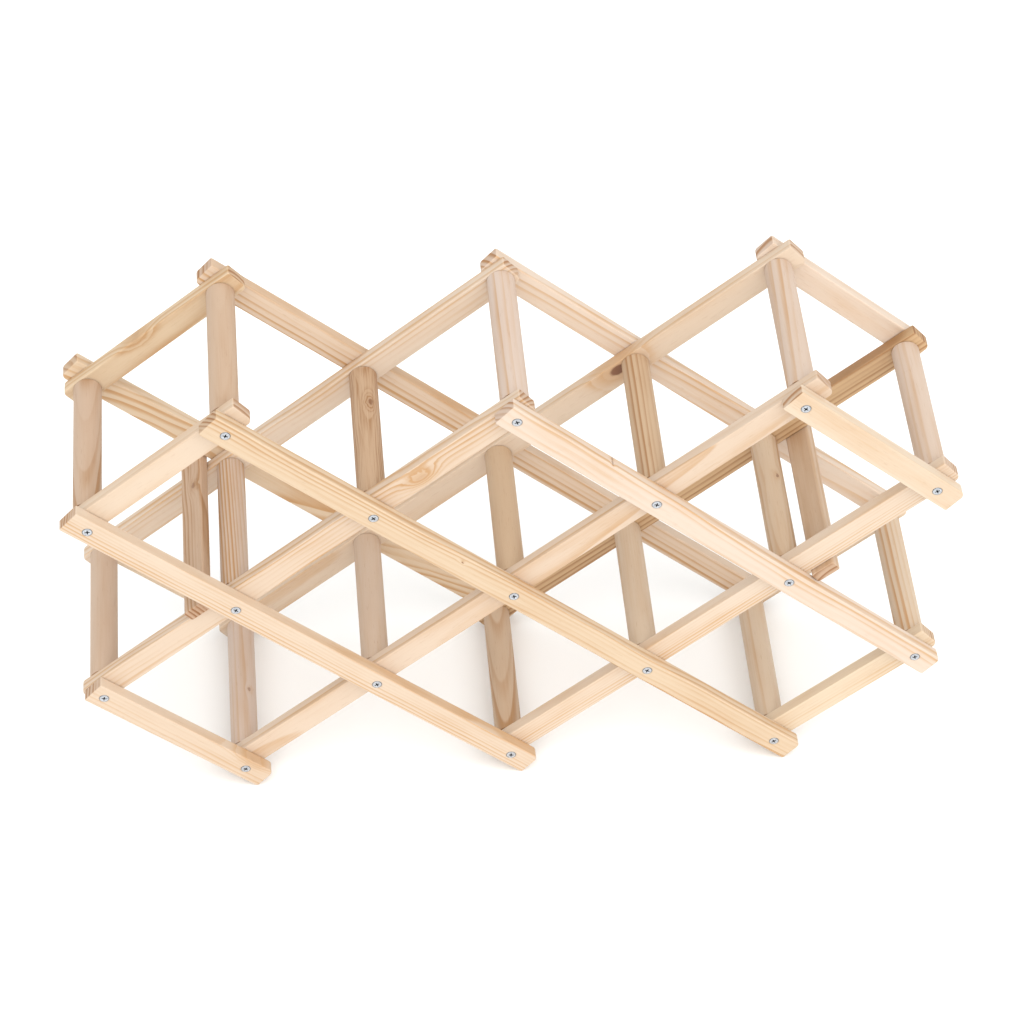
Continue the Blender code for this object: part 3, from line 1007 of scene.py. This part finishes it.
def pine_material(name, place, half_sizes):
    """Pine for one board. Place is the matrix from board space to the rack."""
    look = BOARDS[name]
    finish = bpy.context.scene.rack_finish
    seed = SEED_STEP * (1 + list(BOARDS).index(name))
    pale = blend_colours(finish.sapwood, finish.pink_wood, look["pink"])
    brown = blend_colours(finish.heartwood, finish.pink_heart, look["pink"])
    early = blend_colours(pale, brown, look["tone"])
    late = blend_colours(finish.late_wood, finish.dark_ring, look["tone"])
    if name.startswith("dowel"):
        early = [channel * cast for channel, cast in zip(early, finish.turned_grey)]
        late = [channel * cast for channel, cast in zip(late, finish.turned_grey)]
    knot_x, knot_z, knot_size, knot_core = look["knot"]

    material, sheet, shader = new_material("pine_" + name)
    coordinates = sheet.add("ShaderNodeTexCoord").outputs
    mapping = {
        "Vector": coordinates["Object"],
        "Location": place.to_translation(),
        "Rotation": place.to_euler(),
    }
    board_space = sheet.add("ShaderNodeMapping", mapping, vector_type="TEXTURE").outputs[0]
    pine = bpy.data.node_groups.get("Pine") or pine_group()
    grain = group_node(
        sheet,
        pine,
        Vector=board_space,
        Normal=coordinates["Normal"],
        Grain=place.to_3x3() @ Vector((1.0, 0.0, 0.0)),
        Half_Sizes=half_sizes,
        Seed=seed,
        Pith=PITHS[look["cut"]],
        Spacing=look["spacing"] * MILLIMETRE,
        Wander=look["wander"] * MILLIMETRE,
        Slope=look["slope"],
        Dip=look["dip"],
        Show=look["show"],
        Streak=look["streak"],
        Knot_Place=Vector((knot_x, 0.0, knot_z)) * MILLIMETRE,
        Knot_Size=knot_size * MILLIMETRE,
        Knot_Core=knot_core,
        Early=(*early, 1.0),
        Late=(*late, 1.0),
        Knot_Colour=(*finish.knot, 1.0),
    )
    sheet.feed(shader.inputs["Base Color"], grain["Colour"])
    sheet.feed(shader.inputs["Roughness"], grain["Roughness"])
    shader.inputs["Specular IOR Level"].default_value = 0.35
    relief = sheet.add(
        "ShaderNodeBump", {"Height": grain["Height"], "Strength": 0.5, "Distance": finish.bump}
    )
    sheet.feed(shader.inputs["Normal"], relief.outputs[0])
    return material


def zinc_material(name, brightness):
    """Bright zinc plating with faint streaks from the tumbling drum."""
    finish = bpy.context.scene.rack_finish
    material, sheet, shader = new_material(name)
    place = sheet.add("ShaderNodeTexCoord").outputs["Object"]
    patches = sheet.noise(place, 900.0, 3.0).outputs[0]
    drawn = sheet.vector("MULTIPLY", place, (900.0, 900.0, 9000.0))
    scratches = sheet.noise(drawn, 1.0, 2.0).outputs[0]
    # A brightness below 1 makes a darker copy of the plating, painted shade
    bright = [channel * brightness for channel in finish.zinc]
    dull = [channel * brightness * 0.72 for channel in finish.zinc]
    colour = sheet.mix(sheet.step(patches, 0.35, 0.7), (*bright, 1.0), (*dull, 1.0))
    sheet.feed(shader.inputs["Base Color"], colour)
    sheet.feed(shader.inputs["Roughness"], sheet.step(scratches, 0.3, 0.7, 0.24, 0.42))
    shader.inputs["Metallic"].default_value = 1.0
    relief = sheet.add(
        "ShaderNodeBump", {"Height": scratches, "Strength": 0.15, "Distance": 0.00002}
    )
    sheet.feed(shader.inputs["Normal"], relief.outputs[0])
    return material


# ------------------------------------------------------------------------------ stage

def direction_from(azimuth, elevation):
    """Unit vector towards a place round the rack: azimuth to the right of the front, and elevation."""
    level = math.cos(elevation)
    return Vector((math.sin(azimuth) * level, -math.cos(azimuth) * level, math.sin(elevation)))


def aim(direction, roll=0.0):
    """Rotation that looks back along a direction, turned by roll."""
    return (-direction).to_track_quat("-Z", "Y") @ Euler((0.0, 0.0, roll)).to_quaternion()


def add_floor(settings):
    start_piece(bpy.ops.mesh.primitive_plane_add, size=FLOOR_SIZE)
    bpy.ops.object.mode_set(mode="OBJECT")
    floor = bpy.context.object
    floor.name = "studio_floor"
    material, sheet, shader = new_material("pale_floor")
    place = sheet.add("ShaderNodeTexCoord").outputs["Object"]
    cast = sheet.noise(place, 3.0, 2.0).outputs[0]
    shade = [channel * FLOOR_CAST for channel in settings.floor]
    colour = sheet.mix(cast, (*settings.floor, 1.0), (*shade, 1.0))
    sheet.feed(shader.inputs["Base Color"], colour)
    shader.inputs["Roughness"].default_value = 0.9
    shader.inputs["Specular IOR Level"].default_value = 0.1
    floor.data.materials.append(material)


def add_key_light(settings):
    """A broad soft light from the front, above and a little to the right."""
    light = bpy.data.lights.new("key_light", "SUN")
    light.energy = settings.key_strength
    light.color = settings.key_colour
    light.angle = settings.key_spread
    lamp = bpy.data.objects.new("key_light", light)
    direction = direction_from(settings.key_azimuth, settings.key_elevation)
    lamp.location = direction * settings.distance
    lamp.rotation_mode = "QUATERNION"
    lamp.rotation_quaternion = aim(direction)
    bpy.context.scene.collection.objects.link(lamp)


def set_stage():
    scene = bpy.context.scene
    settings = scene.rack_stage
    add_floor(settings)
    add_key_light(settings)

    world = bpy.data.worlds.new("studio")
    world.use_nodes = True
    sky = world.node_tree.nodes["Background"].inputs
    sky["Color"].default_value = (*settings.sky_colour, 1.0)
    sky["Strength"].default_value = settings.ambient
    scene.world = world

    target = pivot_place("C2") + Vector(settings.aim_offset)
    direction = direction_from(settings.azimuth, settings.elevation)
    camera_data = bpy.data.cameras.new("camera")
    camera_data.lens = settings.lens
    camera = bpy.data.objects.new("camera", camera_data)
    camera.location = target + direction * settings.distance
    camera.rotation_mode = "QUATERNION"
    camera.rotation_quaternion = aim(direction, settings.roll)
    scene.collection.objects.link(camera)
    scene.camera = camera
    scene.view_settings.view_transform = "Standard"


# ------------------------------------------------------------------------------ operators

def require(names):
    missing = [name for name in names if name not in frame["nodes"]]
    if missing:
        raise RuntimeError(f"the frame has no {', '.join(missing)}")


class RACK_OT_outer_slats(bpy.types.Operator):
    """Model the outer slats, which fall to the right and are countersunk"""

    bl_idname = "rack.outer_slats"
    bl_label = "Outer Slats"

    def execute(self, context):
        require(f"{side}_{body}_slat" for body in OUTER_SLATS for side in SIDES)
        make_slats(OUTER_SLATS, True)
        return {"FINISHED"}


class RACK_OT_inner_slats(bpy.types.Operator):
    """Model the inner slats, which rise to the right against the dowels"""

    bl_idname = "rack.inner_slats"
    bl_label = "Inner Slats"

    def execute(self, context):
        require(f"{side}_{body}_slat" for body in INNER_SLATS for side in SIDES)
        make_slats(INNER_SLATS, False)
        return {"FINISHED"}


class RACK_OT_dowels(bpy.types.Operator):
    """Model the round dowels across the depth of the rack"""

    bl_idname = "rack.dowels"
    bl_label = "Dowels"

    def execute(self, context):
        require("dowel_" + pivot for pivot in PIVOTS)
        make_dowels()
        return {"FINISHED"}


class RACK_OT_stop_bars(bpy.types.Operator):
    """Model the two flat stop bars"""

    bl_idname = "rack.stop_bars"
    bl_label = "Stop Bars"

    def execute(self, context):
        require(STOP_BARS)
        make_stop_bars()
        return {"FINISHED"}


class RACK_OT_screws(bpy.types.Operator):
    """Model the countersunk screws, front and rear"""

    bl_idname = "rack.screws"
    bl_label = "Screws"

    def execute(self, context):
        require("screw_" + pivot for pivot in PIVOTS)
        make_screws()
        return {"FINISHED"}


class RACK_OT_stage(bpy.types.Operator):
    """Set the floor, the lights and the camera"""

    bl_idname = "rack.stage"
    bl_label = "Stage"

    def execute(self, context):
        set_stage()
        return {"FINISHED"}


class RACK_PT_panel(bpy.types.Panel):
    """Lists the rack's settings and the steps that make it"""

    bl_idname = "RACK_PT_panel"
    bl_label = "Wine Rack"
    bl_space_type = "VIEW_3D"
    bl_region_type = "UI"
    bl_category = "Wine Rack"

    def draw(self, context):
        for group in SETTINGS:
            box = self.layout.box()
            settings = getattr(context.scene, group)
            for name in settings.bl_rna.properties.keys():
                if name not in ("rna_type", "name"):
                    box.prop(settings, name)
        for operator in STEPS:
            self.layout.operator(operator.bl_idname)


SETTINGS = {
    "rack_slats": SlatSettings,
    "rack_dowels": DowelSettings,
    "rack_screws": ScrewSettings,
    "rack_finish": FinishSettings,
    "rack_stage": StageSettings,
}
STEPS = (
    RACK_OT_outer_slats,
    RACK_OT_inner_slats,
    RACK_OT_dowels,
    RACK_OT_stop_bars,
    RACK_OT_screws,
    RACK_OT_stage,
)


def register():
    for group in (*SETTINGS.values(), *STEPS, RACK_PT_panel):
        bpy.utils.register_class(group)
    for name, group in SETTINGS.items():
        setattr(bpy.types.Scene, name, PointerProperty(type=group))


def unregister():
    for name in SETTINGS:
        delattr(bpy.types.Scene, name)
    for group in reversed((*SETTINGS.values(), *STEPS, RACK_PT_panel)):
        bpy.utils.unregister_class(group)


def main():
    register()
    bpy.ops.rack.outer_slats()
    bpy.ops.rack.inner_slats()
    bpy.ops.rack.dowels()
    bpy.ops.rack.stop_bars()
    bpy.ops.rack.screws()
    bpy.ops.rack.stage()


if __name__ == "__main__":
    main()
